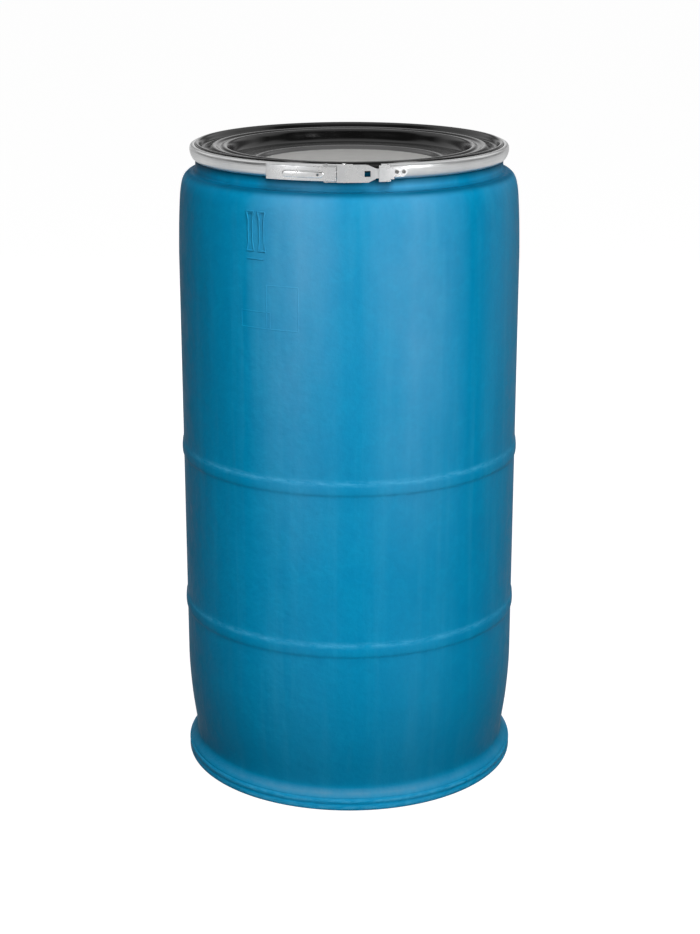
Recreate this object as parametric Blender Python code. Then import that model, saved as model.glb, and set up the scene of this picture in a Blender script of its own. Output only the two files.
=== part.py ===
"""Open-head plastic drum with a moulded lid and a lever-lock closing ring.

Metres, +Z up. The drum stands on Z = 0 with its axis on Z, and the latch faces -Y.
"""

import math

import bmesh
import bpy
from mathutils import Matrix

# Drum shell, blow-moulded polyethylene.
BODY_RADIUS = 0.250
FOOT_RADIUS = 0.252
WAIST_RADIUS = 0.2385
WAIST_Z = 0.0365
NECK_RADIUS = 0.2235
MOUTH_RADIUS = 0.2195
MOUTH_Z = 0.9369
WALL = 0.0045
RIB_HEIGHTS = (0.253, 0.4956)
RIB_HALF_WIDTH = 0.0090
RIB_RISE = 0.0019

# Lid and gasket.
LID_TOP = 0.948
LID_WALL = 0.003
LID_SKIRT_RADIUS = 0.2288
GAP = 0.0003

# Closing ring, a C section of galvanised strip, split at the front.
RING_RADIUS = 0.2315
RING_Z = 0.9352
RING_STRIP = 0.0014
RING_LEFT_END = 0.005
RING_RIGHT_END = 0.044

# Latch. It is laid out flat and then wrapped round the pin circle: X runs along
# the ring from the front to the right, Y is the height above the pin circle.
PIN_CIRCLE = 0.2385
PIVOT_X, PIVOT_Y = -0.007, -0.0015
LINK_PIN_X, LINK_PIN_Y = -0.031, 0.0005
ANCHOR_PIN_X = 0.054
PIN_RADIUS = 0.002
SHEET = 0.0013
LEVER_END = -0.114
LEVER_HALF_HEIGHT = 0.0102
LEVER_FACE = 0.0061
LINK_HALF_HEIGHT = 0.0117
RING_FACE = RING_RADIUS - PIN_CIRCLE

# Numbers of facets.
TURN_STEPS = 40
PIN_STEPS = 12
SLICE = 0.008


def clear_scene():
    for thing in list(bpy.data.objects):
        bpy.data.objects.remove(thing, do_unlink=True)


def make_material(name, colour, roughness, metallic):
    material = bpy.data.materials.new(name)
    material.use_nodes = True
    shader = material.node_tree.nodes["Principled BSDF"]
    shader.inputs["Base Color"].default_value = (*colour, 1.0)
    shader.inputs["Roughness"].default_value = roughness
    shader.inputs["Metallic"].default_value = metallic
    return material


def add_object(name, mesh, material, parent=None):
    """Put a mesh in the scene as a smooth-shaded object that turns about its parent."""
    mesh.name = name
    mesh.materials.clear()
    mesh.materials.append(material)
    mesh.shade_smooth()
    mesh.set_sharp_from_angle(angle=math.radians(30))
    thing = bpy.data.objects.new(name, mesh)
    bpy.context.collection.objects.link(thing)
    if parent:
        thing.parent = parent
        thing.matrix_parent_inverse.translation = -parent.location
    return thing


def add_empty(name, place, parent=None):
    empty = bpy.data.objects.new(name, None)
    bpy.context.collection.objects.link(empty)
    empty.location = place
    if parent:
        empty.parent = parent
        empty.matrix_parent_inverse.translation = -parent.matrix_world.translation
    bpy.context.view_layer.update()
    return empty


def mesh_from(bm):
    bm.normal_update()
    bmesh.ops.recalc_face_normals(bm, faces=bm.faces)
    mesh = bpy.data.meshes.new("shape")
    bm.to_mesh(mesh)
    bm.free()
    return mesh


def round_drum(angle, radius, height):
    """A point at an angle from the front, towards +X, on a circle round the drum's axis."""
    return (radius * math.sin(angle), -radius * math.cos(angle), height)


def turned(outline, steps=TURN_STEPS):
    """Spin a closed (radius, height) outline about Z into a solid."""
    bm = bmesh.new()
    corners = [bm.verts.new((radius, 0.0, height)) for radius, height in outline]
    edges = [bm.edges.new(pair) for pair in zip(corners, corners[1:])]
    if outline[0][0] > 0.0:
        edges.append(bm.edges.new((corners[-1], corners[0])))
    bmesh.ops.spin(bm, geom=corners + edges, cent=(0, 0, 0), axis=(0, 0, 1),
                   angle=math.tau, steps=steps, use_merge=True)
    bmesh.ops.remove_doubles(bm, verts=bm.verts, dist=0.00001)
    return mesh_from(bm)


def block(low, high):
    """A box between two corners."""
    bm = bmesh.new()
    bmesh.ops.create_cube(bm, size=1.0)
    for vertex in bm.verts:
        for axis in range(3):
            middle = (low[axis] + high[axis]) / 2
            vertex.co[axis] = middle + vertex.co[axis] * (high[axis] - low[axis])
    return mesh_from(bm)


def slab(outline, axis, low, high):
    """Extrude a closed outline along one axis; the outline holds the other two coordinates."""
    bm = bmesh.new()
    points = []
    for first, second in outline:
        point = [first, second]
        point.insert(axis, low)
        points.append(bm.verts.new(point))
    face = bm.faces.new(points)
    extruded = bmesh.ops.extrude_face_region(bm, geom=[face])
    for item in extruded["geom"]:
        if isinstance(item, bmesh.types.BMVert):
            item.co[axis] = high
    return mesh_from(bm)


def disc(centre, radius):
    """The outline of a round pin or hole."""
    angles = [math.tau * step / PIN_STEPS for step in range(PIN_STEPS)]
    return [(centre[0] + radius * math.cos(a), centre[1] + radius * math.sin(a)) for a in angles]


def stadium(left, right, middle, radius):
    """The outline of a slot with round ends."""
    points = []
    for step in range(PIN_STEPS + 1):
        angle = math.pi * step / PIN_STEPS
        points.append((right + radius * math.sin(angle), middle + radius * math.cos(angle)))
    for step in range(PIN_STEPS + 1):
        angle = math.pi * step / PIN_STEPS
        points.append((left - radius * math.sin(angle), middle - radius * math.cos(angle)))
    return points


def combined(base, added=(), cut=()):
    """Join meshes to a base mesh and cut others from it, and return the result."""
    work = bpy.data.objects.new("work", base)
    bpy.context.collection.objects.link(work)
    tools = []
    for operation, meshes in (("UNION", added), ("DIFFERENCE", cut)):
        for mesh in meshes:
            tool = bpy.data.objects.new("tool", mesh)
            bpy.context.collection.objects.link(tool)
            tool.hide_render = True
            tool.display_type = "WIRE"
            modifier = work.modifiers.new(operation, "BOOLEAN")
            modifier.operation = operation
            modifier.solver = "EXACT"
            modifier.object = tool
            tools.append(tool)
    bpy.context.view_layer.update()
    evaluated = work.evaluated_get(bpy.context.evaluated_depsgraph_get())
    result = bpy.data.meshes.new_from_object(evaluated)
    for thing in (work, *tools):
        bpy.data.objects.remove(thing, do_unlink=True)
    return result


def wrapped(mesh):
    """Bend a flat-laid latch part round the pin circle, at the ring's height."""
    bm = bmesh.new()
    bm.from_mesh(mesh)
    low = min(vertex.co.x for vertex in bm.verts)
    high = max(vertex.co.x for vertex in bm.verts)
    cuts = int((high - low) / SLICE)
    for step in range(1, cuts + 1):
        place = low + (high - low) * step / (cuts + 1)
        geometry = list(bm.verts) + list(bm.edges) + list(bm.faces)
        bmesh.ops.bisect_plane(bm, geom=geometry, plane_co=(place, 0, 0), plane_no=(1, 0, 0),
                               dist=0.00002)
    bmesh.ops.remove_doubles(bm, verts=bm.verts, dist=0.00002)
    bmesh.ops.triangulate(bm, faces=bm.faces)
    for vertex in bm.verts:
        along, rise, height = vertex.co
        vertex.co = round_drum(along / PIN_CIRCLE, PIN_CIRCLE + rise, RING_Z + height)
    return mesh_from(bm)


def pin_place(along, rise):
    """Where a point of the flat layout ends up, at the ring's height."""
    return round_drum(along / PIN_CIRCLE, PIN_CIRCLE + rise, RING_Z)


def upright_pin(along, rise, shank_half, head_half, head_radius):
    """A headed pin that stands parallel to the drum's axis."""
    outline = [(0.0, head_half), (head_radius, head_half), (head_radius, shank_half),
               (PIN_RADIUS, shank_half), (PIN_RADIUS, -shank_half), (head_radius, -shank_half),
               (head_radius, -head_half), (0.0, -head_half)]
    mesh = turned(outline, PIN_STEPS)
    mesh.transform(Matrix.Translation(pin_place(along, rise)))
    return mesh


def flat_rivet(along, plate_face):
    """A hollow-headed rivet through a latch plate and the ring, flush inside the ring."""
    head = slab(disc((along, 0.0), 0.0027), 1, plate_face + GAP, plate_face + GAP + 0.0010)
    crown = slab(disc((along, 0.0), 0.0018), 1, plate_face + GAP, plate_face + GAP + 0.0015)
    shank = slab(disc((along, 0.0), 0.0014), 1, RING_FACE - RING_STRIP, plate_face + 2 * GAP)
    hollow = slab(disc((along, 0.0), 0.0010), 1, plate_face + 3 * GAP, plate_face + 0.003)
    return wrapped(combined(combined(head, added=(crown, shank)), cut=(hollow,)))


def rivet_hole(along, plate_face):
    return slab(disc((along, 0.0), 0.0014 + GAP), 1, RING_FACE - 0.004, plate_face + 0.003)


def drum_outline():
    """Section of the drum shell: up the outside, over the mouth and down the inside."""
    outside = [
        (0.0, 0.010), (0.212, 0.010), (0.230, 0.0), (0.2485, 0.0), (0.2513, 0.0024),
        (FOOT_RADIUS, 0.0060), (FOOT_RADIUS, 0.0164), (0.2508, 0.0184), (0.2492, 0.0194),
        (0.2497, 0.0212), (0.2400, 0.0325),
        (WAIST_RADIUS, WAIST_Z), (0.2398, 0.050), (0.2424, 0.068), (0.2456, 0.092),
        (0.2484, 0.124), (BODY_RADIUS, 0.155),
    ]
    for middle in RIB_HEIGHTS:
        outside += [
            (BODY_RADIUS, middle - RIB_HALF_WIDTH),
            (BODY_RADIUS + 0.8 * RIB_RISE, middle - 0.72 * RIB_HALF_WIDTH),
            (BODY_RADIUS + RIB_RISE, middle - 0.1 * RIB_HALF_WIDTH),
            (BODY_RADIUS + 0.8 * RIB_RISE, middle + 0.55 * RIB_HALF_WIDTH),
            (BODY_RADIUS, middle + RIB_HALF_WIDTH),
        ]
    outside += [
        (BODY_RADIUS, 0.790), (0.2489, 0.832), (0.2472, 0.865), (0.2457, 0.882),
        (0.2436, 0.892), (0.2404, 0.8995), (0.2366, 0.9043), (0.2315, 0.9072),
        (0.2280, 0.9068), (0.2250, 0.9078), (NECK_RADIUS, 0.911),
    ]
    rim = [
        (NECK_RADIUS, 0.9262), (0.2252, 0.9272), (0.2262, 0.9287), (0.2277, 0.9312),
        (0.2285, 0.9345), (0.2258, 0.9346), (0.2258, MOUTH_Z), (MOUTH_RADIUS, MOUTH_Z),
    ]
    inside = [
        (0.2190, 0.908), (0.2225, 0.9022), (0.2320, 0.8992), (0.2383, 0.892),
        (0.2412, 0.880), (0.2430, 0.860), (BODY_RADIUS - WALL, 0.790),
        (BODY_RADIUS - WALL, 0.155), (0.2438, 0.124), (0.2379, 0.068), (0.2342, WAIST_Z),
        (0.2356, 0.0305), (0.2462, 0.0175), (0.2462, 0.0085), (0.2425, 0.005),
        (0.2315, 0.005), (0.2135, 0.0145), (0.0, 0.0145),
    ]
    return outside + rim + inside


def lid_outline():
    """Section of the lid: a sunk panel, a deep wall, two ridges and a raised outer bead."""
    upper = [
        (0.0, 0.9175), (0.1290, 0.9175), (0.1325, 0.9196), (0.1360, 0.9228), (0.1400, 0.9236),
        (0.1640, 0.9236), (0.1695, 0.9256), (0.1722, 0.9300), (0.1752, 0.9390),
        (0.1778, 0.9425), (0.1806, 0.9430), (0.1836, 0.9412), (0.1872, 0.9388),
        (0.1900, 0.9402), (0.1928, 0.9434), (0.1955, 0.9441), (0.1982, 0.9426),
        (0.2006, 0.9406), (0.2030, 0.9422), (0.2050, 0.9434), (0.2150, 0.9434),
    ]
    lower = []
    for before, point, after in zip(upper, upper[1:], upper[2:]):
        run, rise = after[0] - before[0], after[1] - before[1]
        length = math.hypot(run, rise)
        lower.append((point[0] + LID_WALL * rise / length, point[1] - LID_WALL * run / length))
    bead = [
        (0.2172, 0.9458), (0.2192, 0.9476), (0.2204, LID_TOP), (0.2220, LID_TOP),
        (0.2233, 0.9470), (0.2234, 0.9438), (0.2272, 0.9438), (LID_SKIRT_RADIUS, 0.9424),
        (LID_SKIRT_RADIUS, 0.9350), (0.2266, 0.9350), (0.2266, 0.9406), (0.2185, 0.9406),
        (0.2172, 0.9400),
    ]
    return upper + bead + lower[::-1] + [(0.0, 0.9175 - LID_WALL)]


def ring_outline():
    """C section of the closing ring: its lips hook over the lid and under the drum's rim."""
    outer = [
        (0.2238, 0.9456), (0.2272, 0.9457), (0.2300, 0.9444), (0.2313, 0.9416),
        (RING_RADIUS, 0.9382), (0.2309, 0.9342), (0.2295, 0.9302), (0.2274, 0.9265),
        (0.2250, 0.9243),
    ]
    inner = [
        (0.2241, 0.9253), (0.2263, 0.9274), (0.2282, 0.9308), (0.2295, 0.9345),
        (RING_RADIUS - RING_STRIP, 0.9383), (0.2299, 0.9413), (0.2290, 0.9434),
        (0.2269, 0.9443), (0.2238, 0.9442),
    ]
    return outer + inner


def build_shells(blue, black, rubber):
    add_object("drum_body", turned(drum_outline()), blue)
    lid_top = add_empty("lid_lift", (0, 0, MOUTH_Z))
    add_object("lid", turned(lid_outline()), black, lid_top)
    gasket = [(0.2196, 0.9403), (0.2262, 0.9403), (0.2262, 0.9372), (0.2196, 0.9372)]
    add_object("gasket", turned(gasket), rubber, lid_top)


def build_ring(steel, parent, holes):
    """The band itself, with the gap between its two ends at the front."""
    gap = block((RING_LEFT_END, -0.260, RING_Z - 0.020), (RING_RIGHT_END, -0.180, RING_Z + 0.020))
    band = combined(turned(ring_outline()), cut=(gap, *holes))
    add_object("ring_band", band, steel, parent)


def build_pivot_bracket(steel, parent):
    """The ring's left end: a riveted plate with two ears that carry the lever's pin."""
    face = RING_FACE + GAP + SHEET
    plate = block((-0.050, RING_FACE + GAP, -0.0072), (0.003, face, 0.0072))
    tub = block((-0.016, RING_FACE + GAP, -0.0086), (-0.001, 0.0022, 0.0086))
    room = block((-0.020, face, -0.0073), (0.005, 0.010, 0.0073))
    pin_hole = slab(disc((PIVOT_X, PIVOT_Y), PIN_RADIUS + GAP), 2, -0.02, 0.02)
    spots = (-0.038, -0.0455)
    holes = [rivet_hole(spot, face) for spot in spots]
    bracket = combined(combined(plate, added=(tub,)), cut=(room, pin_hole, *holes))
    add_object("pivot_bracket", wrapped(bracket), steel, parent)
    for index, spot in enumerate(spots, 1):
        add_object(f"bracket_rivet_{index}", flat_rivet(spot, face), steel, parent)
    pin = upright_pin(PIVOT_X, PIVOT_Y, LEVER_HALF_HEIGHT + GAP, 0.0127, 0.0030)
    add_object("pivot_pin", pin, steel, parent)
    return [wrapped(rivet_hole(spot, face)) for spot in spots]


def build_lever(steel, parent):
    """Pressed channel: a face with a raised bead, and two sides that reach the pivot."""
    inner = LEVER_FACE - SHEET - 0.0001
    body = block((LEVER_END, -0.0030, -LEVER_HALF_HEIGHT), (-0.0170, LEVER_FACE, LEVER_HALF_HEIGHT))
    ears = slab([(-0.0180, -0.0055), (-0.0035, -0.0055), (-0.0012, -0.0030), (-0.0012, 0.0012),
                 (-0.0040, 0.0040), (-0.0180, 0.0040)], 2, -LEVER_HALF_HEIGHT, LEVER_HALF_HEIGHT)
    bead = slab(stadium(-0.0850, -0.0380, -0.0010, 0.0050), 1, inner, LEVER_FACE + 0.0016)
    side = LEVER_HALF_HEIGHT - SHEET
    hollow = block((LEVER_END + SHEET, -0.0100, -side), (0.0050, inner, side))
    holes = [slab(disc((-0.0410, -0.0015), 0.0016), 1, -0.002, 0.012)]
    for along, rise in ((PIVOT_X, PIVOT_Y), (LINK_PIN_X, LINK_PIN_Y)):
        holes.append(slab(disc((along, rise), PIN_RADIUS + GAP), 2, -0.02, 0.02))
    lever = combined(combined(body, added=(ears, bead)), cut=(hollow, *holes))
    add_object("lever", wrapped(lever), steel, parent)
    pin = upright_pin(LINK_PIN_X, LINK_PIN_Y, LINK_HALF_HEIGHT + GAP, 0.0124, 0.0026)
    add_object("link_pin", pin, steel, parent)


def build_link(steel, parent):
    """Yoke between the lever and the anchor: two arms, a cover, a tongue, a band and a hook."""
    top = LINK_HALF_HEIGHT
    side = LEVER_HALF_HEIGHT + GAP
    cover = slab([(-0.0162, -top), (0.0250, -top), (0.0350, -0.0070), (0.0350, 0.0070),
                  (0.0250, top), (-0.0162, top)], 1, 0.0048, 0.0062)
    arm = [(-0.0350, -0.0010), (-0.0330, -0.0032), (-0.0290, -0.0032), (-0.0240, 0.0020),
           (0.0220, 0.0020), (0.0240, 0.0062), (-0.0162, 0.0062), (-0.0180, 0.0042),
           (-0.0330, 0.0042), (-0.0350, 0.0020)]
    arms = [slab(arm, 2, side, top), slab(arm, 2, -top, -side)]
    neck = block((0.0320, 0.0034, -0.0065), (0.0596, 0.0049, 0.0065))
    band = block((0.0390, 0.0048, -0.0110), (0.0530, 0.0062, 0.0110))
    hook = block((ANCHOR_PIN_X + 0.0042, -0.0003, -0.0065), (0.0596, 0.0040, 0.0065))
    holes = [slab(disc((LINK_PIN_X, LINK_PIN_Y), PIN_RADIUS + GAP), 2, -0.02, 0.02),
             block((0.0200, 0.0020, -0.0040), (0.0280, 0.0080, 0.0040))]
    link = combined(combined(cover, added=(*arms, neck, band, hook)), cut=holes)
    add_object("link", wrapped(link), steel, parent)


def build_anchor(steel, parent):
    """The ring's right end: a pointed riveted plate with two ears that carry a pin."""
    face = RING_FACE + GAP + SHEET
    plate = slab([(0.0460, -0.0070), (0.0760, -0.0070), (0.0818, -0.0030), (0.0818, 0.0030),
                  (0.0760, 0.0070), (0.0460, 0.0070)], 1, RING_FACE + GAP, face)
    tub = block((0.0480, RING_FACE + GAP, -0.0086), (0.0605, 0.0028, 0.0086))
    room = block((0.0400, face, -0.0072), (0.0660, 0.010, 0.0072))
    pin_hole = slab(disc((ANCHOR_PIN_X, 0.0), PIN_RADIUS + GAP), 2, -0.02, 0.02)
    spots = (0.0665, 0.0765)
    holes = [rivet_hole(spot, face) for spot in spots]
    anchor = combined(combined(plate, added=(tub,)), cut=(room, pin_hole, *holes))
    add_object("anchor_plate", wrapped(anchor), steel, parent)
    for index, spot in enumerate(spots, 1):
        add_object(f"anchor_rivet_{index}", flat_rivet(spot, face), steel, parent)
    pin = upright_pin(ANCHOR_PIN_X, 0.0, 0.0089, 0.0118, 0.0026)
    add_object("anchor_pin", pin, steel, parent)
    return [wrapped(rivet_hole(spot, face)) for spot in spots]


def main():
    clear_scene()
    blue = make_material("blue_polyethylene", (0.010, 0.190, 0.400), 0.45, 0.0)
    black = make_material("black_polyethylene", (0.012, 0.012, 0.013), 0.22, 0.0)
    rubber = make_material("gasket_rubber", (0.030, 0.030, 0.030), 0.80, 0.0)
    steel = make_material("galvanised_steel", (0.620, 0.620, 0.600), 0.35, 1.0)
    bright = make_material("zinc_plated_steel", (0.750, 0.750, 0.740), 0.25, 1.0)

    build_shells(blue, black, rubber)
    ring = add_empty("ring_lift", (0, 0, RING_Z))
    ring_end = add_empty("ring_spread", (0, RING_RADIUS, RING_Z), ring)
    lever = add_empty("lever_swing", pin_place(PIVOT_X, PIVOT_Y), ring)
    link = add_empty("link_swing", pin_place(LINK_PIN_X, LINK_PIN_Y), lever)
    holes = build_pivot_bracket(bright, ring)
    holes += build_anchor(bright, ring_end)
    build_ring(steel, ring, holes)
    build_lever(bright, lever)
    build_link(bright, link)


main()
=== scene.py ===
"""Blue open-head drum with a black lid and a lever-lock closing ring, on a pale studio floor.

Metres, +Z up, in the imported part's own frame. The latch faces -Y.
"""

import math

import bmesh
import bpy
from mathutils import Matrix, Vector


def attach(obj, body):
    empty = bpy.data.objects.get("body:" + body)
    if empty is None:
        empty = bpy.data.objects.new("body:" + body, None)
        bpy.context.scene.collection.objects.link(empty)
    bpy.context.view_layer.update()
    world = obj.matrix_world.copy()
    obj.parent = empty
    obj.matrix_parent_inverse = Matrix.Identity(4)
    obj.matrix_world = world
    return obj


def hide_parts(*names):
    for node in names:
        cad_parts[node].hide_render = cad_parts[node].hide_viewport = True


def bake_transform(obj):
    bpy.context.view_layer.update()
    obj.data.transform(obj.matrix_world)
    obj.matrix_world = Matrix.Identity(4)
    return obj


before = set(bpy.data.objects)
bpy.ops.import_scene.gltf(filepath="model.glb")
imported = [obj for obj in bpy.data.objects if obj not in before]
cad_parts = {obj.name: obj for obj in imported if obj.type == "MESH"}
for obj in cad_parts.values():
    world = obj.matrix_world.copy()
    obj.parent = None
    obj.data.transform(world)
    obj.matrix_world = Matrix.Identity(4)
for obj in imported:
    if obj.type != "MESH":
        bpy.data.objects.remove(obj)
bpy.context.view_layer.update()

# Drum shell.
BODY_RADIUS = 0.250
NECK_RADIUS = 0.2235
MOUTH_RADIUS = 0.2195
MOUTH_Z = 0.9369
WALL = 0.0045
RIB_HEIGHTS = (0.253, 0.4956)
RIB_HALF_WIDTH = 0.0112
RIB_RISE = 0.0023
SEAM_RISE = 0.0004
SEAM_HALF_ANGLE = math.radians(0.35)
SEAM_BOTTOM, SEAM_TOP = 0.035, 0.905
CORNER_REACH = 0.012
GROOVE_Z = 0.9055
FOOT_LEDGE_Z = 0.026
# Heights that rub against things, where the wear also carries painted highlights on the ribs'
# upper edges and the foot's lines, and how far the wear reaches from each.
WORN_AND_LIT_HEIGHTS = ((RIB_HEIGHTS[0] + 0.0085, 0.0060), (RIB_HEIGHTS[1] + 0.0085, 0.0060),
                (0.0065, 0.0040), (0.0165, 0.0040))
# The raised marks' lines: their width, their rise, and the length of one step along them.
LINE_WIDTH = 0.0022
LINE_RISE = 0.0005
LINE_STEP = 0.004
# Painted reflections of soft lights, in upright bands up the shell: the angle from the front and
# half-width in degrees, and strength.
PAINTED_REFLECTION_BANDS = ((-16.0, 19.0, 0.40), (21.0, 22.0, 0.36), (68.0, 22.0, 0.20), (116.0, 26.0, 0.18),
              (154.0, 24.0, 0.16), (-98.0, 30.0, 0.18), (-146.0, 28.0, 0.20))

# Lid and gasket.
LID_TOP = 0.948
LID_WALL = 0.003
LID_PANEL_Z = 0.9175
GATE_RADIUS = 0.0045
GATE_RISE = 0.0006
# Radii between which the lid's satin panel with its painted sheen, and the painted highlight on
# the ledge round it, fade out.
PANEL_EDGE = (0.1275, 0.1305)
LEDGE_HIGHLIGHT_EDGE = (0.1590, 0.1645)

# Closing ring.
RING_RADIUS = 0.2315
RING_Z = 0.9352
RING_STRIP = 0.0014
RING_LEFT_END = 0.005
RING_RIGHT_END = 0.044

# Latch, laid out flat: X along the ring from the front to the right, Y the height
# above the pin circle, Z the height above the ring's middle.
GAP = 0.0003
PIN_CIRCLE = 0.2385
PIVOT_X, PIVOT_Y = -0.007, -0.0015
LINK_PIN_X, LINK_PIN_Y = -0.031, 0.0005
ANCHOR_PIN_X = 0.054
PIN_RADIUS = 0.002
SHEET = 0.0013
LEVER_END = -0.114
LEVER_HALF_HEIGHT = 0.0102
LEVER_FACE = 0.0061
BEAD_RISE = 0.0023
LINK_HALF_HEIGHT = 0.0117
RING_FACE = RING_RADIUS - PIN_CIRCLE
PLATE_BACK = RING_FACE + GAP
PLATE_FACE = PLATE_BACK + SHEET
BRACKET_RIVETS = (-0.038, -0.0455)
ANCHOR_RIVETS = (0.0665, 0.0765)
RIVET_HEAD_RADIUS = 0.0027
RIVET_HEAD_RISE = 0.0014
RIVET_RADIUS = 0.0014
RIVET_HOLLOW_RADIUS = 0.0011
EDGE = 0.00025
BEND = 0.0012

# Facets: round the drum, round a pin, and the length of one facet along the latch.
TURNS = 240
ROUND_STEPS = 24
SLICE = 0.003

# The blue plastic's colours, with those of its painted reflections, highlights, sheen and shade.
BLUE = (0.0003, 0.203, 0.396, 1)
BLUE_CLOUD = (0.0006, 0.218, 0.420, 1)
BLUE_BLOTCH = (0.0015, 0.255, 0.458, 1)
BLUE_FLECK = (0.0005, 0.194, 0.378, 1)
BLUE_STREAK = (0.045, 0.335, 0.530, 1)
BLUE_SCUFF_AND_HIGHLIGHT = (0.055, 0.340, 0.550, 1)
BLUE_PAINTED_REFLECTION = (0.190, 0.400, 0.600, 1)
BLUE_LOW_SHADE = (0.0002, 0.105, 0.190, 1)
BLUE_DUST_AND_SHEEN = (0.085, 0.255, 0.385, 1)
BLUE_GROOVE_SHADE = (0.0004, 0.100, 0.200, 1)
BLUE_RIM_SHADE = (0.0006, 0.045, 0.085, 1)

# Soft lights: name, place, aim, size, watts, and whether it gleams instead of lighting.
SOFTBOXES = (
    ("key", (0.50, -3.30, 1.60), (0.0, 0.0, 0.70), (1.4, 1.0), 55.0, False),
    ("fill", (0.40, -2.60, 2.90), (0.0, 0.0, 0.60), (1.6, 1.2), 85.0, False),
    ("back", (0.0, 3.20, 2.00), (0.0, 0.0, 0.60), (2.4, 1.6), 55.0, False),
    ("gleam_right", (2.10, -2.40, 1.55), (0.0, 0.0, 0.80), (0.8, 1.2), 34.0, True),
    ("gleam_left", (-2.00, -2.50, 1.55), (0.0, 0.0, 0.80), (0.7, 1.2), 16.0, True),
)

# The camera, in front of the drum and tilted down on it.
CAMERA_PLACE = (0.0011, -2.827, 1.316)
CAMERA_TILT = 16.98
CAMERA_LENS = 74.73
CAMERA_SENSOR = 36.0


# ---------------------------------------------------------------- shapes

def round_drum(angle, radius, height):
    """A point at an angle from the front, towards +X, on a circle round the drum's axis."""
    return (radius * math.sin(angle), -radius * math.cos(angle), height)


def mesh_from(bm):
    """Turn a bmesh into a mesh with its faces outwards, and free it."""
    bm.normal_update()
    bmesh.ops.recalc_face_normals(bm, faces=bm.faces)
    mesh = bpy.data.meshes.new("shape")
    bm.to_mesh(mesh)
    bm.free()
    return mesh


def show(name, mesh, material, body, nodes=(), sharp=40):
    """Put a mesh in the scene as a piece that rides on a body and stands for CAD nodes."""
    mesh.name = name
    mesh.materials.clear()
    mesh.materials.append(material)
    mesh.shade_smooth()
    mesh.set_sharp_from_angle(angle=math.radians(sharp))
    piece = bpy.data.objects.new(name, mesh)
    bpy.context.scene.collection.objects.link(piece)
    if body:
        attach(piece, body)
    if nodes:
        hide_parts(*nodes)
    return piece


def between(start, end, reach):
    """The point that far along the way from start to end, or half-way if that is nearer."""
    length = math.dist(start, end)
    share = min(reach / length, 0.5)
    return [s + (e - s) * share for s, e in zip(start, end)]


def eased(outline, reach, steps=4):
    """Round each corner of a closed outline, over at most reach on both sides of it."""
    smooth = []
    for index, corner in enumerate(outline):
        if corner[0] == 0.0:
            smooth.append(corner)
            continue
        start = between(corner, outline[index - 1], reach)
        end = between(corner, outline[(index + 1) % len(outline)], reach)
        for step in range(steps + 1):
            t = step / steps
            smooth.append(tuple(
                (1 - t) ** 2 * s + 2 * t * (1 - t) * c + t * t * e
                for s, c, e in zip(start, corner, end)))
    return smooth


def swept(outline, angles, closed=True, relief=None):
    """Carry an outline of (radius, height) points round Z; relief moves points outwards."""
    bm = bmesh.new()
    rows = []
    for angle in angles:
        row = []
        for index, (radius, height) in enumerate(outline):
            reach = radius + (relief(angle, index) if relief else 0.0)
            row.append(bm.verts.new(round_drum(angle, reach, height)))
        rows.append(row)
    sides = len(outline) - (1 if outline[0][0] == 0.0 else 0)
    pairs = list(zip(rows, rows[1:]))
    if closed:
        pairs.append((rows[-1], rows[0]))
    for this, following in pairs:
        for index in range(sides):
            after = (index + 1) % len(outline)
            bm.faces.new((this[index], this[after], following[after], following[index]))
    if not closed:
        bm.faces.new(rows[0])
        bm.faces.new(rows[-1][::-1])
    bmesh.ops.remove_doubles(bm, verts=bm.verts, dist=0.000002)
    return mesh_from(bm)


def even_angles(count):
    return [math.tau * step / count for step in range(count)]


def rounded(bm, soft, segments=3):
    """Round every sharp edge of a simple solid."""
    if soft:
        bm.normal_update()
        edges = [edge for edge in bm.edges if edge.calc_face_angle(0.0) > 0.6]
        bmesh.ops.bevel(bm, geom=edges, offset=soft, offset_type="OFFSET",
                        segments=segments, profile=0.5, affect="EDGES", clamp_overlap=True)
    return bm


def block(low, high, soft=0.0):
    """A box between two corners."""
    bm = bmesh.new()
    bmesh.ops.create_cube(bm, size=1.0)
    for vertex in bm.verts:
        for axis in range(3):
            middle = (low[axis] + high[axis]) / 2
            vertex.co[axis] = middle + vertex.co[axis] * (high[axis] - low[axis])
    return mesh_from(rounded(bm, soft))


def slab(outline, axis, low, high, soft=0.0):
    """Extrude a closed outline along one axis; the outline holds the other two coordinates."""
    bm = bmesh.new()
    points = []
    for first, second in outline:
        point = [first, second]
        point.insert(axis, low)
        points.append(bm.verts.new(point))
    face = bm.faces.new(points)
    extruded = bmesh.ops.extrude_face_region(bm, geom=[face])
    for item in extruded["geom"]:
        if isinstance(item, bmesh.types.BMVert):
            item.co[axis] = high
    bmesh.ops.recalc_face_normals(bm, faces=bm.faces)
    return mesh_from(rounded(bm, soft))


def disc(centre, radius):
    """The outline of a round pin or hole."""
    return [(centre[0] + radius * math.cos(a), centre[1] + radius * math.sin(a))
            for a in even_angles(ROUND_STEPS)]


def stadium(left, right, middle, radius):
    """The outline of a slot with round ends."""
    points = []
    half_turn = [math.pi * step / ROUND_STEPS for step in range(ROUND_STEPS + 1)]
    for angle in half_turn:
        points.append((right + radius * math.sin(angle), middle + radius * math.cos(angle)))
    for angle in half_turn:
        points.append((left - radius * math.sin(angle), middle - radius * math.cos(angle)))
    return points


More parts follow.
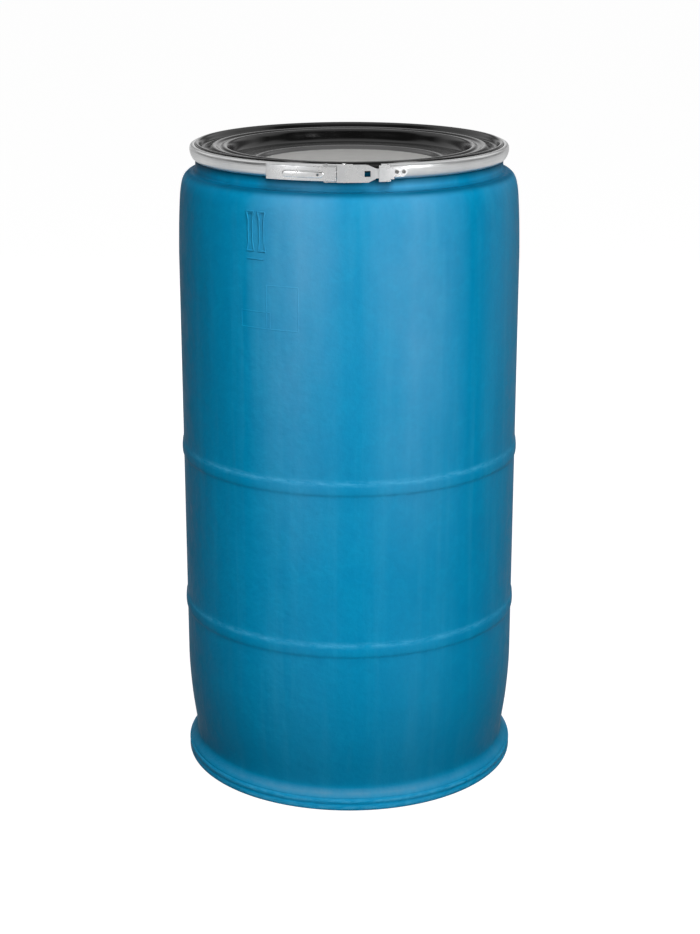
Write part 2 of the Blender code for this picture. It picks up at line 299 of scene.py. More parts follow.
def combined(base, added=(), cut=()):
    """Join meshes to a base mesh and cut others from it, and return the result."""
    work = bpy.data.objects.new("work", base)
    bpy.context.scene.collection.objects.link(work)
    tools = []
    for operation, meshes in (("UNION", added), ("DIFFERENCE", cut)):
        for mesh in meshes:
            tool = bpy.data.objects.new("tool", mesh)
            bpy.context.scene.collection.objects.link(tool)
            modifier = work.modifiers.new(operation, "BOOLEAN")
            modifier.operation = operation
            modifier.solver = "EXACT"
            modifier.object = tool
            tools.append(tool)
    bpy.context.view_layer.update()
    evaluated = work.evaluated_get(bpy.context.evaluated_depsgraph_get())
    result = bpy.data.meshes.new_from_object(evaluated)
    for thing in (work, *tools):
        bpy.data.objects.remove(thing, do_unlink=True)
    return result


def wrapped(mesh):
    """Bend a flat-laid latch part round the pin circle, at the ring's height."""
    bm = bmesh.new()
    bm.from_mesh(mesh)
    low = min(vertex.co.x for vertex in bm.verts)
    high = max(vertex.co.x for vertex in bm.verts)
    cuts = int((high - low) / SLICE)
    for step in range(1, cuts + 1):
        place = low + (high - low) * step / (cuts + 1)
        geometry = list(bm.verts) + list(bm.edges) + list(bm.faces)
        bmesh.ops.bisect_plane(bm, geom=geometry, plane_co=(place, 0, 0), plane_no=(1, 0, 0),
                               dist=0.00001)
    bmesh.ops.remove_doubles(bm, verts=bm.verts, dist=0.00001)
    bmesh.ops.triangulate(bm, faces=bm.faces)
    for vertex in bm.verts:
        along, rise, height = vertex.co
        vertex.co = round_drum(along / PIN_CIRCLE, PIN_CIRCLE + rise, RING_Z + height)
    return mesh_from(bm)


# ---------------------------------------------------------------- materials

class Nodes:
    """Shader nodes that are added to a tree one by one."""

    def __init__(self, tree):
        self.tree = tree

    def add(self, kind, links=(), **settings):
        """A node of one kind; links are (socket, value or output) pairs."""
        node = self.tree.nodes.new(kind)
        for name, value in settings.items():
            setattr(node, name, value)
        for socket, value in links:
            self.put(node.inputs[socket], value)
        return node

    def put(self, socket, value):
        if isinstance(value, bpy.types.NodeSocket):
            self.tree.links.new(value, socket)
        else:
            socket.default_value = value

    def ranged(self, value, low, high, to_low=0.0, to_high=1.0):
        """Carry a value from one range to another, held within it."""
        node = self.add("ShaderNodeMapRange", [
            ("Value", value), ("From Min", low), ("From Max", high),
            ("To Min", to_low), ("To Max", to_high)])
        return node.outputs["Result"]

    def maths(self, operation, first, second=0.0):
        node = self.add("ShaderNodeMath", [(0, first), (1, second)], operation=operation)
        return node.outputs["Value"]

    def times(self, first, second):
        return self.maths("MULTIPLY", first, second)

    def total(self, values):
        """The sum of several values."""
        first, *others = values
        for value in others:
            first = self.maths("ADD", first, value)
        return first


class Finish(Nodes):
    """A Principled material with procedural textures."""

    def __init__(self, name, **sockets):
        self.material = bpy.data.materials.new(name)
        self.material.use_nodes = True
        super().__init__(self.material.node_tree)
        self.shader = self.tree.nodes["Principled BSDF"]
        for socket, value in sockets.items():
            self.shader.inputs[socket.replace("_", " ")].default_value = value
        self.place = self.add("ShaderNodeTexCoord").outputs["Object"]

    def stretched(self, scale):
        """The place on the object, with each axis scaled by its own factor."""
        node = self.add("ShaderNodeVectorMath", [(0, self.place), (1, scale)],
                        operation="MULTIPLY")
        return node.outputs["Vector"]

    def noise(self, scale, detail=3.0, rough=0.5, place=None, distortion=0.0):
        node = self.add("ShaderNodeTexNoise", [
            ("Vector", place or self.place), ("Scale", scale), ("Detail", detail),
            ("Roughness", rough), ("Distortion", distortion)])
        return node.outputs["Fac"]

    def cells(self, scale, output="Distance"):
        node = self.add("ShaderNodeTexVoronoi", [("Vector", self.place), ("Scale", scale)])
        return node.outputs[output]

    def mixed(self, share, first, second):
        """One colour turning into another as share goes from 0 to 1."""
        node = self.add("ShaderNodeMix", [(0, share), (6, first), (7, second)],
                        data_type="RGBA")
        return node.outputs[2]

    def raised(self, height, distance, strength=1.0, over=None):
        """Bumps of a height, on top of others if they are given."""
        links = [("Height", height), ("Distance", distance), ("Strength", strength)]
        if over:
            links.append(("Normal", over))
        return self.add("ShaderNodeBump", links).outputs["Normal"]

    def axis(self, index):
        """One coordinate of the place: 0, 1 or 2 for X, Y or Z."""
        return self.add("ShaderNodeSeparateXYZ", [("Vector", self.place)]).outputs[index]

    def from_axis(self):
        """Distance from the drum's axis."""
        flat = self.stretched((1.0, 1.0, 0.0))
        node = self.add("ShaderNodeVectorMath", [(0, flat)], operation="LENGTH")
        return node.outputs["Value"]

    def near(self, value, middle, reach):
        """1 where value is at the middle, falling to 0 at reach from it."""
        away = self.maths("ABSOLUTE", self.maths("SUBTRACT", value, middle))
        return self.ranged(away, 0.0, reach, 1.0, 0.0)

    def finish(self, colour=None, roughness=None, normal=None):
        for socket, value in (("Base Color", colour), ("Roughness", roughness),
                              ("Normal", normal)):
            if value is not None:
                self.put(self.shader.inputs[socket], value)
        return self.material


def grey(level):
    return (level, level, level, 1.0)


def blue_polyethylene():
    """Blow-moulded polyethylene, mottled and grained; painted reflections in upright bands,
    painted highlights where rubbed on the ribs and foot, a painted sheen in the foot's dust, and
    painted shade low down, in the neck's groove and under the ring.
    """
    make = Finish("blue_polyethylene", Specular_IOR_Level=0.02)
    height = make.axis(2)

    clouds = make.ranged(make.noise(5.0, 4.0, 0.55), 0.35, 0.65)
    blotches = make.ranged(make.noise(34.0, 5.0, 0.55, distortion=0.8), 0.32, 0.68)
    flecks = make.ranged(make.noise(150.0, 3.0, 0.6), 0.35, 0.65)
    runs = make.noise(1.0, 4.0, 0.6, make.stretched((38.0, 38.0, 1.6)))
    streaks = make.ranged(runs, 0.50, 0.74)
    colour = make.mixed(clouds, BLUE, BLUE_CLOUD)
    colour = make.mixed(make.times(blotches, 0.62), colour, BLUE_BLOTCH)
    colour = make.mixed(make.times(flecks, 0.45), colour, BLUE_FLECK)
    colour = make.mixed(make.times(streaks, 0.20), colour, BLUE_STREAK)

    # Paler rubbed streaks at these heights: wear, and painted highlights along the ribs' upper
    # edges and the foot's lines.
    rubs = make.noise(1.0, 6.0, 0.7, make.stretched((55.0, 55.0, 240.0)))
    rubs = make.ranged(rubs, 0.38, 0.66)
    worn_and_lit = make.total([make.near(height, middle, reach) for middle, reach in WORN_AND_LIT_HEIGHTS])
    scuffs_and_highlights = make.times(make.times(worn_and_lit, rubs), 0.75)
    colour = make.mixed(scuffs_and_highlights, colour, BLUE_SCUFF_AND_HIGHLIGHT)

    # Painted reflections: paler upright bands round the shell, cloudy, fading towards the bottom.
    around = make.maths("ARCTAN2", make.axis(0), make.times(make.axis(1), -1.0))
    painted_reflection = make.total([
        make.times(make.near(around, math.radians(middle), math.radians(reach)), share)
        for middle, reach, share in PAINTED_REFLECTION_BANDS])
    cloudy = make.noise(1.0, 5.0, 0.62, make.stretched((9.0, 9.0, 4.0)))
    cloudy = make.ranged(cloudy, 0.30, 0.70, 0.55, 1.15)
    painted_reflection = make.times(painted_reflection, cloudy)
    painted_reflection = make.times(painted_reflection, make.ranged(height, 0.36, 0.82, 0.12, 1.0))
    colour = make.mixed(painted_reflection, colour, BLUE_PAINTED_REFLECTION)

    # Painted shade: darker towards the bottom, just above the foot.
    low_shade = make.times(make.ranged(height, 0.03, 0.26, 0.50, 0.0),
                       make.ranged(height, 0.024, 0.034))
    colour = make.mixed(low_shade, colour, BLUE_LOW_SHADE)

    # Pale dust on the foot's ledge, which also carries a painted sheen there, weaker towards the
    # sides.
    dust = make.times(make.near(height, FOOT_LEDGE_Z, 0.0070),
                      make.ranged(make.noise(26.0, 6.0, 0.65), 0.36, 0.62, 0.35, 0.85))
    aside = make.maths("ABSOLUTE", make.axis(0))
    dust = make.times(dust, make.ranged(aside, 0.05, 0.19, 1.0, 0.25))
    colour = make.mixed(dust, colour, BLUE_DUST_AND_SHEEN)

    # Painted shade in the groove between the neck and the shoulder.
    groove_shade = make.times(make.near(height, GROOVE_Z, 0.0075),
                        make.ranged(make.from_axis(), 0.2370, 0.2425, 1.0, 0.0))
    groove_shade = make.times(groove_shade, make.ranged(make.noise(6.0, 4.0), 0.35, 0.6, 0.75, 1.0))
    colour = make.mixed(groove_shade, colour, BLUE_GROOVE_SHADE)
    # Painted shade on the rim's outer face under the closing ring.
    colour = make.mixed(make.ranged(height, 0.914, 0.925), colour, BLUE_RIM_SHADE)

    roughness = make.ranged(blotches, 0.0, 1.0, 0.40, 0.52)
    roughness = make.maths("ADD", roughness, make.times(scuffs_and_highlights, 0.3))
    grain = make.raised(make.noise(620.0, 2.0, 0.5), 0.00012, 0.5)
    peel = make.raised(make.noise(60.0, 4.0, 0.6), 0.0017, 0.6, grain)
    swells = make.noise(1.0, 3.0, 0.5, make.stretched((9.0, 9.0, 5.0)))
    waves = make.raised(swells, 0.0080, 0.55, peel)
    return make.finish(colour, roughness, waves)


def black_polyethylene():
    """Glossy moulded lid with a fine grain, hairline scratches and dust; a satin panel with a
    painted sheen, and a painted highlight on the ledge round it.
    """
    make = Finish("black_polyethylene", Specular_IOR_Level=0.55)
    dust = make.ranged(make.noise(24.0, 6.0, 0.65), 0.48, 0.80)
    specks = make.ranged(make.cells(420.0), 0.0, 0.16, 1.0, 0.0)
    colour = make.mixed(make.times(dust, 0.25), grey(0.0025), grey(0.014))
    specks = make.times(make.times(specks, dust), 0.5)
    colour = make.mixed(specks, colour, grey(0.10))
    reach = make.from_axis()
    panel = make.ranged(reach, *PANEL_EDGE, 1.0, 0.0)
    ledge_highlight = make.ranged(reach, *LEDGE_HIGHLIGHT_EDGE, 1.0, 0.0)
    # Painted highlight: the ledge round the panel is paler grey.
    colour = make.mixed(make.times(ledge_highlight, 0.9), colour, grey(0.058))
    # Satin panel, rougher than the rest, whose pale grey colour is a painted sheen.
    satin_and_painted_sheen = make.mixed(make.noise(55.0, 5.0, 0.6), grey(0.30), (0.38, 0.377, 0.358, 1))
    colour = make.mixed(panel, colour, satin_and_painted_sheen)
    hairs = make.noise(1.0, 2.0, 0.5, make.stretched((340.0, 16.0, 16.0)), 0.6)
    roughness = make.ranged(dust, 0.0, 1.0, 0.15, 0.30)
    roughness = make.maths("ADD", roughness, make.times(panel, 0.30))
    grain = make.raised(make.noise(900.0, 2.0), 0.00006, 0.35)
    scratches = make.raised(hairs, 0.00020, 0.25, grain)
    waves = make.raised(make.noise(7.0, 2.0), 0.0040, 0.10, scratches)
    return make.finish(colour, roughness, waves)


def foam_rubber():
    """Dark foam with open pores and a little dust."""
    make = Finish("gasket_rubber", Specular_IOR_Level=0.3)
    pores = make.cells(900.0)
    colour = make.mixed(make.ranged(pores, 0.0, 0.5), grey(0.012), grey(0.045))
    colour = make.mixed(make.ranged(make.noise(40.0, 4.0), 0.5, 0.8, 0.0, 0.4), colour,
                        grey(0.085))
    roughness = make.ranged(make.noise(60.0), 0.3, 0.7, 0.72, 0.92)
    return make.finish(colour, roughness, make.raised(pores, 0.0004, 0.6))


def galvanised_strip():
    """Satin zinc strip: drawn lines along the ring, soft spangle, dull patches."""
    make = Finish("galvanised_strip", Metallic=1.0)
    drawn = make.noise(1.0, 3.0, 0.6, make.stretched((14.0, 14.0, 900.0)))
    spangle = make.cells(130.0, output="Color")
    patches = make.ranged(make.noise(18.0, 5.0, 0.6), 0.4, 0.68)
    colour = make.mixed(make.ranged(drawn, 0.3, 0.7), grey(0.72), (0.86, 0.87, 0.87, 1))
    colour = make.mixed(make.times(patches, 0.35), colour, (0.62, 0.635, 0.65, 1))
    tone = make.add("ShaderNodeSeparateColor", [("Color", spangle)]).outputs[0]
    colour = make.mixed(make.ranged(tone, 0.0, 1.0, 0.0, 0.16), colour, grey(0.86))
    roughness = make.ranged(patches, 0.0, 1.0, 0.30, 0.46)
    lines = make.raised(drawn, 0.00008, 0.5)
    dents = make.raised(make.noise(34.0, 3.0), 0.0010, 0.35, lines)
    return make.finish(colour, roughness, dents)


def shaded_dull_zinc():
    """The rivets' duller plating, made dark grey to paint the shade in their hollows too: pitted,
    brighter where it is rubbed.
    """
    make = Finish("shaded_dull_zinc", Metallic=1.0)
    rubbed = make.ranged(make.noise(700.0, 4.0, 0.6), 0.42, 0.68)
    # Dark grey that also paints the shade in the rivets' hollows, paler where rubbed.
    colour = make.mixed(rubbed, grey(0.17), (0.36, 0.36, 0.35, 1))
    roughness = make.ranged(rubbed, 0.0, 1.0, 0.52, 0.36)
    return make.finish(colour, roughness, make.raised(make.noise(900.0), 0.0001, 0.4))


def bright_zinc():
    """Zinc-plated pressings: bright, with fine scratches and faint clouding."""
    make = Finish("bright_zinc", Metallic=1.0)
    clouds = make.ranged(make.noise(60.0, 5.0, 0.6), 0.38, 0.68)
    scratches = make.noise(1.0, 4.0, 0.65, make.stretched((90.0, 90.0, 1500.0)))
    colour = make.mixed(clouds, grey(0.84), (0.70, 0.71, 0.72, 1))
    colour = make.mixed(make.ranged(scratches, 0.55, 0.75, 0.0, 0.4), colour, grey(0.93))
    roughness = make.ranged(clouds, 0.0, 1.0, 0.24, 0.38)
    lines = make.raised(scratches, 0.00004, 0.3)
    pits = make.raised(make.noise(150.0, 2.0), 0.00012, 0.22, lines)
    return make.finish(colour, roughness, pits)


# ---------------------------------------------------------------- drum

def drum_outside():
    """Section of the shell's outer side, from the middle of its base up to the neck."""
    outside = [
        (0.0, 0.010), (0.212, 0.010), (0.230, 0.0), (0.2485, 0.0), (0.2513, 0.0024),
        (0.252, 0.0050), (0.2519, 0.0082), (0.2510, 0.0100), (0.2511, 0.0124),
        (0.252, 0.0138), (0.252, 0.0168), (0.2508, 0.0186), (0.2492, 0.0196),
        (0.2497, 0.0212), (0.2400, 0.0325),
        (0.2385, 0.0365), (0.2398, 0.050), (0.2424, 0.068), (0.2456, 0.092),
        (0.2484, 0.124), (BODY_RADIUS, 0.155),
    ]
    for middle in RIB_HEIGHTS:
        outside += [
            (BODY_RADIUS, middle - RIB_HALF_WIDTH),
            (BODY_RADIUS + 0.8 * RIB_RISE, middle - 0.78 * RIB_HALF_WIDTH),
            (BODY_RADIUS + RIB_RISE, middle - 0.2 * RIB_HALF_WIDTH),
            (BODY_RADIUS + 0.8 * RIB_RISE, middle + 0.52 * RIB_HALF_WIDTH),
            (BODY_RADIUS, middle + RIB_HALF_WIDTH),
        ]
    return outside + [
        (BODY_RADIUS, 0.790), (0.2489, 0.832), (0.2472, 0.865), (0.2457, 0.882),
        (0.2436, 0.892), (0.2404, 0.8995), (0.2366, 0.9043), (0.2315, 0.9072),
        (0.2280, 0.9068), (0.2250, 0.9078), (NECK_RADIUS, 0.911),
    ]


def drum_outline():
    """Section of the whole shell: up the outside, over the mouth and down the inside."""
    rim = [
        (NECK_RADIUS, 0.9262), (0.2252, 0.9272), (0.2262, 0.9287), (0.2277, 0.9312),
        (0.2285, 0.9345), (0.2258, 0.9346), (0.2258, MOUTH_Z), (MOUTH_RADIUS, MOUTH_Z),
    ]
    inside = [
        (0.2190, 0.908), (0.2225, 0.9022), (0.2320, 0.8992), (0.2383, 0.892),
        (0.2412, 0.880), (0.2430, 0.860), (BODY_RADIUS - WALL, 0.790),
        (BODY_RADIUS - WALL, 0.155), (0.2438, 0.124), (0.2379, 0.068), (0.2342, 0.0365),
        (0.2356, 0.0305), (0.2462, 0.0175), (0.2462, 0.0085), (0.2425, 0.005),
        (0.2315, 0.005), (0.2135, 0.0145), (0.0, 0.0145),
    ]
    return drum_outside() + rim + inside


def parting_line(outline, outer):
    """The mould's parting line, a fine ridge up both sides of the first outer points."""
    def lift(angle, index):
        if index >= outer or not SEAM_BOTTOM < outline[index][1] < SEAM_TOP:
            return 0.0
        away = abs(math.remainder(angle - math.pi / 2, math.pi)) / SEAM_HALF_ANGLE
        return SEAM_RISE * max(0.0, 1.0 - away)
    return lift


def seam_angles():
    """Even angles, with more of them near the two parting lines."""
    angles = set(even_angles(TURNS))
    for middle in (math.pi / 2, 3 * math.pi / 2):
        angles |= {middle + SEAM_HALF_ANGLE * step for step in (-1.0, -0.5, 0.5, 1.0)}
    return sorted(angles)


def moulded_bar(bm, start, end):
    """A raised line on the body between two points, each (distance round it, height)."""
    run = (Vector(end) - Vector(start)).normalized()
    side = Vector((-run.y, run.x))
    count = max(1, round(math.dist(start, end) / LINE_STEP))
    section = ((-0.5, -1.0), (-0.3, 0.7), (0.0, 1.0), (0.3, 0.7), (0.5, -1.0))
    rows = []
    for step in range(count + 1):
        middle = Vector(start).lerp(Vector(end), step / count)
        row = []
        for across, rise in section:
            around, height = middle + side * (across * LINE_WIDTH)
            radius = BODY_RADIUS + rise * LINE_RISE
            row.append(bm.verts.new(round_drum(around / BODY_RADIUS, radius, height)))
        rows.append(row)
    for this, following in zip(rows, rows[1:]):
        for index in range(len(section)):
            after = (index + 1) % len(section)
            bm.faces.new((this[index], this[after], following[after], following[index]))
    bm.faces.new(rows[0])
    bm.faces.new(rows[-1])


def moulded_marks():
    """Plain raised frames and bars on the shell's upper left, without lettering."""
    shapes = []
    for middle in (-0.1425, -0.1245):
        shapes.append([
            (middle - 0.0058, 0.880), (middle - 0.0035, 0.868), (middle - 0.0035, 0.838),
            (middle - 0.0058, 0.826), (middle + 0.0058, 0.826), (middle + 0.0035, 0.838),
            (middle + 0.0035, 0.868), (middle + 0.0058, 0.880),
        ])
    shapes.append([(-0.148, 0.815), (-0.121, 0.815)])
    for left, right, low, high in ((-0.159, -0.1125, 0.719, 0.742),
                                   (-0.118, -0.0705, 0.719, 0.780)):
        shapes.append([(left, low), (right, low), (right, high), (left, high)])
    bm = bmesh.new()
    for shape in shapes:
        corners = shape + shape[:1] if len(shape) > 2 else shape
        for start, end in zip(corners, corners[1:]):
            moulded_bar(bm, start, end)
    return mesh_from(bm)


def build_drum(blue):
    outline = eased(drum_outline(), CORNER_REACH)
    outer = len(eased(drum_outside(), CORNER_REACH))
    shell = swept(outline, seam_angles(), relief=parting_line(outline, outer))
    show("drum_shell", shell, blue, "drum", ["drum_body"], 50)
    show("mould_marks", moulded_marks(), blue, "drum", sharp=80)


# ---------------------------------------------------------------- lid

def lid_outline():
    """Section of the lid: a sunk panel, a deep wall, two ridges and a raised outer bead."""
    upper = [
        (0.0, LID_PANEL_Z + GATE_RISE), (0.6 * GATE_RADIUS, LID_PANEL_Z + GATE_RISE),
        (GATE_RADIUS, LID_PANEL_Z), (2 * GATE_RADIUS, LID_PANEL_Z),
        (0.1290, LID_PANEL_Z), (0.1325, 0.9196), (0.1360, 0.9228), (0.1400, 0.9236),
        (0.1640, 0.9236), (0.1695, 0.9256), (0.1722, 0.9300), (0.1750, 0.9388),
        (0.1770, 0.9418), (0.1795, 0.9430), (0.1822, 0.9427), (0.1850, 0.9410),
        (0.1878, 0.9403), (0.1905, 0.9412), (0.1932, 0.9430), (0.1958, 0.9436),
        (0.1985, 0.9430), (0.2015, 0.9410), (0.2045, 0.9391), (0.2085, 0.9384),
        (0.2122, 0.9388), (0.2148, 0.9406),
    ]
    lower = []
    body = upper[4:]
    for before, point, after in zip(body, body[1:], body[2:]):
        run, rise = after[0] - before[0], after[1] - before[1]
        length = math.hypot(run, rise)
        lower.append((point[0] + LID_WALL * rise / length, point[1] - LID_WALL * run / length))
    bead = [
        (0.2172, 0.9458), (0.2192, 0.9476), (0.2204, LID_TOP), (0.2220, LID_TOP),
        (0.2233, 0.9470), (0.2234, 0.9438), (0.2272, 0.9438), (0.2288, 0.9424),
        (0.2288, 0.9350), (0.2266, 0.9350), (0.2266, 0.9406), (0.2185, 0.9406),
        (0.2172, 0.9400),
    ]
    return upper + bead + lower[::-1] + [(0.0, LID_PANEL_Z - LID_WALL)]


def build_lid(black, rubber):
    shell = swept(eased(lid_outline(), 0.003), even_angles(TURNS))
    show("lid_shell", shell, black, "lid", ["lid"], 50)
    section = [(0.2196, 0.9403), (0.2262, 0.9403), (0.2262, 0.9372), (0.2196, 0.9372)]
    ring = swept(eased(section, 0.0007), even_angles(TURNS))
    show("gasket_ring", ring, rubber, "lid", ["gasket"], 50)


# ---------------------------------------------------------------- closing ring and latch

def build_band(steel):
    """C section strip round the rim, open at the front between its two ends."""
    outer = [
        (0.2238, 0.9456), (0.2272, 0.9457), (0.2300, 0.9444), (0.2313, 0.9416),
        (RING_RADIUS, 0.9382), (0.2309, 0.9342), (0.2295, 0.9302), (0.2274, 0.9265),
        (0.2250, 0.9243),
    ]
    inner = [
        (0.2241, 0.9253), (0.2263, 0.9274), (0.2282, 0.9308), (0.2295, 0.9345),
        (RING_RADIUS - RING_STRIP, 0.9383), (0.2299, 0.9413), (0.2290, 0.9434),
        (0.2269, 0.9443), (0.2238, 0.9442),
    ]
    first = RING_RIGHT_END / RING_RADIUS
    last = math.tau + RING_LEFT_END / RING_RADIUS
    angles = [first + (last - first) * step / TURNS for step in range(TURNS + 1)]
    mesh = swept(eased(outer + inner, 0.003), angles, closed=False)
    band = show("closing_band", mesh, steel, None, ["ring_band"], 50)
    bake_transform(band)


def pin_mesh(along, rise, shank_half, head_half, head_radius):
    """A headed pin that stands parallel to the drum's axis."""
    outline = [(0.0, head_half), (head_radius, head_half), (head_radius, shank_half),
               (PIN_RADIUS, shank_half), (PIN_RADIUS, -shank_half), (head_radius, -shank_half),
               (head_radius, -head_half), (0.0, -head_half)]
    mesh = swept(eased(outline, 0.0006), even_angles(ROUND_STEPS))
    middle = Vector(round_drum(along / PIN_CIRCLE, PIN_CIRCLE + rise, RING_Z))
    for vertex in mesh.vertices:
        vertex.co += middle
    return mesh


def rivet_mesh(along):
    """A hollow-headed rivet through a latch plate and the ring, flush inside the ring."""
    base = PLATE_FACE + GAP
    head = slab(disc((along, 0.0), RIVET_HEAD_RADIUS), 1, base, base + RIVET_HEAD_RISE, 0.0005)
    shank = slab(disc((along, 0.0), RIVET_RADIUS), 1, RING_FACE - RING_STRIP, base + GAP)
    hollow = slab(disc((along, 0.0), RIVET_HOLLOW_RADIUS), 1, base, base + 0.003)
    return wrapped(combined(combined(head, added=(shank,)), cut=(hollow,)))


def rivet_hole(along):
    """A tool that cuts a rivet's hole through a plate."""
    return slab(disc((along, 0.0), RIVET_RADIUS + GAP), 1, RING_FACE - 0.004, PLATE_FACE + 0.003)


def pin_hole(along, rise):
    """A tool that cuts a pin's hole right through the latch."""
    return slab(disc((along, rise), PIN_RADIUS + GAP), 2, -0.02, 0.02)


def plated(name, mesh, zinc, body, node):
    """Show a latch part, shaded evenly over its flat faces."""
    piece = show(name, mesh, zinc, body, [node], 35)
    piece.modifiers.new("even_shading", "WEIGHTED_NORMAL").keep_sharp = True
    return piece


def build_bracket(zinc, dull):
    """The ring's left end: a riveted plate with two ears that carry the lever's pin."""
    plate = block((-0.050, PLATE_BACK, -0.0072), (0.003, PLATE_FACE, 0.0072), EDGE)
    tub = block((-0.016, PLATE_BACK, -0.0086), (-0.001, 0.0022, 0.0086), EDGE)
    room = block((-0.020, PLATE_FACE, -0.0073), (0.005, 0.010, 0.0073))
    holes = [rivet_hole(spot) for spot in BRACKET_RIVETS]
    bracket = combined(combined(plate, added=(tub,)),
                       cut=(room, pin_hole(PIVOT_X, PIVOT_Y), *holes))
    plated("bracket_pressing", wrapped(bracket), zinc, "clamp_ring", "pivot_bracket")
    for index, spot in enumerate(BRACKET_RIVETS, 1):
        plated(f"bracket_rivet_head_{index}", rivet_mesh(spot), dull, "clamp_ring",
               f"bracket_rivet_{index}")
    pin = pin_mesh(PIVOT_X, PIVOT_Y, LEVER_HALF_HEIGHT + GAP, 0.0127, 0.0030)
    plated("pivot_pin_turned", pin, zinc, "clamp_ring", "pivot_pin")


def build_lever(zinc):
    """Pressed channel: a face with a raised bead, and two sides that reach the pivot."""
    inner = LEVER_FACE - SHEET - 0.0001
    body = block((LEVER_END, -0.0030, -LEVER_HALF_HEIGHT),
                 (-0.0170, LEVER_FACE, LEVER_HALF_HEIGHT), BEND)
    ears = slab([(-0.0190, -0.0055), (-0.0035, -0.0055), (-0.0012, -0.0030), (-0.0012, 0.0012),
                 (-0.0040, 0.0040), (-0.0190, 0.0040)], 2, -LEVER_HALF_HEIGHT,
                LEVER_HALF_HEIGHT, EDGE)
    bead = slab(stadium(-0.0850, -0.0380, -0.0010, 0.0050), 1, inner - 0.003,
                LEVER_FACE + BEAD_RISE, 0.0026)
    side = LEVER_HALF_HEIGHT - SHEET
    hollow = block((LEVER_END + SHEET, -0.0100, -side), (0.0050, inner, side))
    cuts = [hollow, slab(disc((-0.0410, -0.0015), 0.0016), 1, -0.002, 0.012),
            pin_hole(PIVOT_X, PIVOT_Y), pin_hole(LINK_PIN_X, LINK_PIN_Y)]
    lever = combined(combined(body, added=(ears, bead)), cut=cuts)
    plated("lever_pressing", wrapped(lever), zinc, "lever", "lever")
    pin = pin_mesh(LINK_PIN_X, LINK_PIN_Y, LINK_HALF_HEIGHT + GAP, 0.0124, 0.0026)
    plated("link_pin_turned", pin, zinc, "lever", "link_pin")


def build_link(zinc):
    """Yoke between the lever and the anchor: two arms, a cover, a neck, a band and a hook."""
    top = LINK_HALF_HEIGHT
    side = LEVER_HALF_HEIGHT + GAP
    cover = slab([(-0.0162, -top), (0.0250, -top), (0.0350, -0.0070), (0.0350, 0.0070),
                  (0.0250, top), (-0.0162, top)], 1, 0.0048, 0.0062, EDGE)
    arm = [(-0.0350, -0.0010), (-0.0330, -0.0032), (-0.0290, -0.0032), (-0.0240, 0.0020),
           (0.0220, 0.0020), (0.0240, 0.0062), (-0.0162, 0.0062), (-0.0180, 0.0042),
           (-0.0330, 0.0042), (-0.0350, 0.0020)]
    arms = [slab(arm, 2, side, top, EDGE), slab(arm, 2, -top, -side, EDGE)]
    neck = block((0.0320, 0.0034, -0.0065), (0.0596, 0.0049, 0.0065), EDGE)
    band = block((0.0390, 0.0048, -0.0110), (0.0530, 0.0062, 0.0110), EDGE)
    hook = block((ANCHOR_PIN_X + 0.0042, -0.0003, -0.0065), (0.0596, 0.0040, 0.0065), EDGE)
    window = block((0.0200, 0.0020, -0.0040), (0.0280, 0.0080, 0.0040))
    link = combined(combined(cover, added=(*arms, neck, band, hook)),
                    cut=(pin_hole(LINK_PIN_X, LINK_PIN_Y), window))
    plated("link_pressing", wrapped(link), zinc, "link", "link")


def build_anchor(zinc, dull):
    """The ring's right end: a pointed riveted plate with two ears that carry a pin."""
    plate = slab([(0.0460, -0.0070), (0.0760, -0.0070), (0.0818, -0.0030), (0.0818, 0.0030),
                  (0.0760, 0.0070), (0.0460, 0.0070)], 1, PLATE_BACK, PLATE_FACE, EDGE)
    tub = block((0.0480, PLATE_BACK, -0.0086), (0.0605, 0.0028, 0.0086), EDGE)
    room = block((0.0400, PLATE_FACE, -0.0072), (0.0660, 0.010, 0.0072))
    holes = [rivet_hole(spot) for spot in ANCHOR_RIVETS]
    anchor = combined(combined(plate, added=(tub,)),
                      cut=(room, pin_hole(ANCHOR_PIN_X, 0.0), *holes))
    plated("anchor_pressing", wrapped(anchor), zinc, "ring_end", "anchor_plate")
    for index, spot in enumerate(ANCHOR_RIVETS, 1):
        plated(f"anchor_rivet_head_{index}", rivet_mesh(spot), dull, "ring_end",
               f"anchor_rivet_{index}")
    pin = pin_mesh(ANCHOR_PIN_X, 0.0, 0.0089, 0.0118, 0.0026)
    plated("anchor_pin_turned", pin, zinc, "ring_end", "anchor_pin")


# ---------------------------------------------------------------- studio

def aimed(thing, place, target):
    """Put a light in the scene, turned towards a point."""
    thing.location = place
    direction = Vector(target) - Vector(place)
    thing.rotation_euler = direction.to_track_quat("-Z", "Y").to_euler()
    bpy.context.scene.collection.objects.link(thing)


def softbox(name, place, target, size, power, gleam):
    """A rectangular soft light, which either lights surfaces or only gleams in them."""
    data = bpy.data.lights.new(name, "AREA")
    data.shape = "RECTANGLE"
    data.size, data.size_y = size
    data.energy = power
    light = bpy.data.objects.new(name, data)
    light.visible_glossy = gleam
    light.visible_diffuse = not gleam
    aimed(light, place, target)


def build_floor():
    """A pale floor that looks evenly lit, and that throws only a little light back up."""
    bm = bmesh.new()
    bmesh.ops.create_grid(bm, x_segments=1, y_segments=1, size=60.0)
    mesh = mesh_from(bm)
    floor = bpy.data.objects.new("studio_floor", mesh)
    bpy.context.scene.collection.objects.link(floor)
    make = Finish("studio_floor", Roughness=0.9, Specular_IOR_Level=0.0,
                  Base_Color=grey(0.22), Emission_Color=grey(1.0))
    path = make.add("ShaderNodeLightPath").outputs
    glow = make.times(path["Is Camera Ray"], 0.95)
    glow = make.maths("ADD", glow, make.times(path["Is Glossy Ray"], 0.55))
    make.put(make.shader.inputs["Emission Strength"], glow)
    mesh.materials.append(make.material)


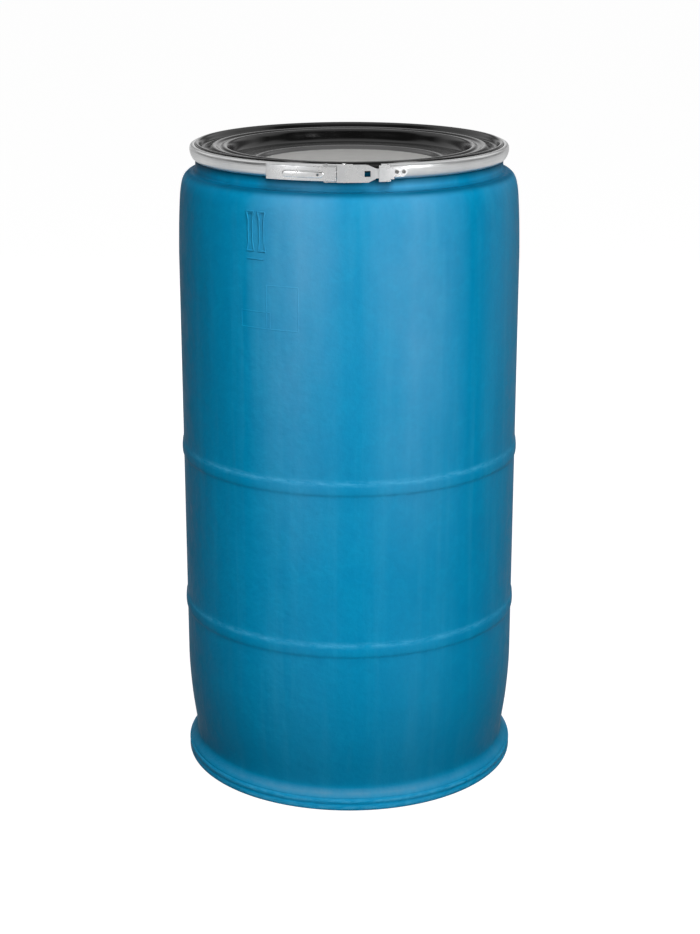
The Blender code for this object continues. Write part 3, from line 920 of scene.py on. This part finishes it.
def build_world():
    """White surroundings that light the drum dimly.

    Glossy surfaces see them brighter behind the drum, low down and overhead, and darker elsewhere.
    """
    scene = bpy.context.scene
    scene.world = bpy.data.worlds.new("studio")
    scene.world.use_nodes = True
    make = Nodes(scene.world.node_tree)
    way = make.add("ShaderNodeTexCoord").outputs["Generated"]
    way = make.add("ShaderNodeSeparateXYZ", [("Vector", way)]).outputs
    aside = make.maths("ABSOLUTE", way["X"])
    sides = make.times(make.ranged(aside, 0.36, 0.50),
                       make.ranged(way["Z"], 0.16, 0.30))
    sides = make.maths("MAXIMUM", sides, make.ranged(aside, 0.08, 0.26, 1.0, 0.15))
    back = make.times(make.ranged(way["Y"], 0.05, 0.35), sides)
    low = make.times(make.ranged(way["Z"], 0.02, 0.20, 1.0, 0.0),
                     make.ranged(aside, 0.50, 0.75, 1.0, 0.0))
    above = make.times(make.ranged(way["Z"], 0.36, 0.50),
                       make.ranged(way["Y"], -0.24, -0.04))
    above = make.times(above, make.ranged(aside, 0.25, 0.45))
    above = make.maths("MAXIMUM", above, make.ranged(way["Z"], 0.72, 0.90))
    gleam = make.maths("MAXIMUM", back, make.maths("MAXIMUM", low, above))
    gleam = make.ranged(gleam, 0.0, 1.0, -0.11, 0.70)
    path = make.add("ShaderNodeLightPath").outputs
    gleam = make.times(path["Is Glossy Ray"], gleam)
    seen = make.times(path["Is Camera Ray"], 0.84)
    strength = make.maths("ADD", make.maths("ADD", seen, gleam), 0.16)
    background = scene.world.node_tree.nodes["Background"]
    background.inputs["Color"].default_value = grey(1.0)
    make.put(background.inputs["Strength"], strength)
    scene.view_settings.view_transform = "Standard"


def build_camera():
    data = bpy.data.cameras.new("camera")
    data.sensor_width = CAMERA_SENSOR
    data.lens = CAMERA_LENS
    data.clip_start, data.clip_end = 0.05, 200.0
    camera = bpy.data.objects.new("camera", data)
    camera.location = CAMERA_PLACE
    camera.rotation_euler = (math.radians(90 - CAMERA_TILT), 0.0, 0.0)
    bpy.context.scene.collection.objects.link(camera)
    bpy.context.scene.camera = camera


def main():
    blue = blue_polyethylene()
    black = black_polyethylene()
    rubber = foam_rubber()
    steel = galvanised_strip()
    zinc = bright_zinc()
    dull = shaded_dull_zinc()
    build_drum(blue)
    build_lid(black, rubber)
    build_band(steel)
    build_bracket(zinc, dull)
    build_lever(zinc)
    build_link(zinc)
    build_anchor(zinc, dull)
    build_floor()
    build_world()
    for light in SOFTBOXES:
        softbox(*light)
    build_camera()


main()
